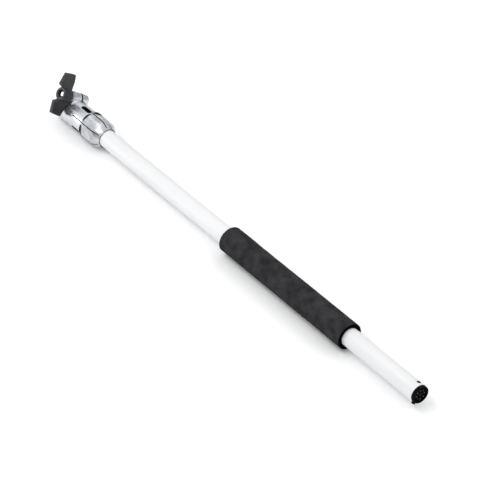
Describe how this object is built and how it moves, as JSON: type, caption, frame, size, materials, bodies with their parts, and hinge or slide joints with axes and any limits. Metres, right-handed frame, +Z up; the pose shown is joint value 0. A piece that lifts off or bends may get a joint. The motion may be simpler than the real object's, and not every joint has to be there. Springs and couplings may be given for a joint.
{
  "type": "roller extension pole",
  "caption": "Extension pole for a paint roller: white tube, foam grip, butt cap, and a metal clamp head with a wing knob and a slotted lock nut on its collet.",
  "frame": {"origin": "on the pole's axis at the mouth of the roller socket", "axes": "+X along the pole from the socket's mouth to the butt cap, +Z up with the pole lying level and the head's screw axis 54 degrees off the vertical"},
  "size_m": [0.914, 0.0765, 0.0955],
  "materials": {
    "tube_white": "white satin powder coat",
    "grip_foam": "fine foam, matt",
    "black_plastic": "moulded, matt",
    "cast_metal": "polished die casting",
    "nut_metal": "polished",
    "knob_plastic": "moulded, satin",
    "black_nylon": "smooth nylon",
    "brass": "machined",
    "steel": "zinc plated",
    "wiper_rubber": "soft, matt"
  },
  "bodies": {
    "pole": {"main_tube": "tube_white", "tube_insert": "black_plastic", "foam_grip": "grip_foam", "butt_cap": "black_plastic"},
    "head": {"clamp_body": "cast_metal", "socket_liner": "brass", "liner_screw": "steel", "collet_liner": "black_nylon", "swivel_washer": "black_nylon", "stop_ring": "steel", "clamp_bolt": "steel", "bolt_key": "steel"},
    "knob_washers": {"thrust_washer": "steel", "spring_washer": "steel"},
    "knob": {"wing_knob": "knob_plastic", "knob_insert": "steel"},
    "nut_carrier": {"slip_ring": "black_nylon"},
    "lock_nut": {"nut_shell": "nut_metal", "nut_core": "black_nylon", "nut_wiper": "wiper_rubber"}
  },
  "joints": [
    {"name": "head_swivel", "type": "hinge", "parent": "pole", "child": "head", "pos_m": [0.07, 0, 0], "axis": [1, 0, 0], "continuous": true},
    {"name": "knob_travel", "type": "slide", "parent": "head", "child": "knob_washers", "axis": [0, -0.809, 0.5878], "range_m": [0, 0.00375]},
    {"name": "knob_turn", "type": "hinge", "parent": "knob_washers", "child": "knob", "pos_m": [0.0242, 0.01233, 0.01697], "axis": [0, -0.809, 0.5878], "range_deg": [0, 1081]},
    {"name": "nut_travel", "type": "slide", "parent": "head", "child": "nut_carrier", "axis": [1, 0, 0], "range_m": [0, 0.003]},
    {"name": "nut_turn", "type": "hinge", "parent": "nut_carrier", "child": "lock_nut", "pos_m": [0.1, 0, 0], "axis": [1, 0, 0], "range_deg": [0, 541]}
  ],
  "couplings": [
    {"joint": "knob_turn", "follows": "knob_travel", "rad_per_m": 5026.5},
    {"joint": "nut_turn", "follows": "nut_travel", "rad_per_m": 3141.6}
  ]
}
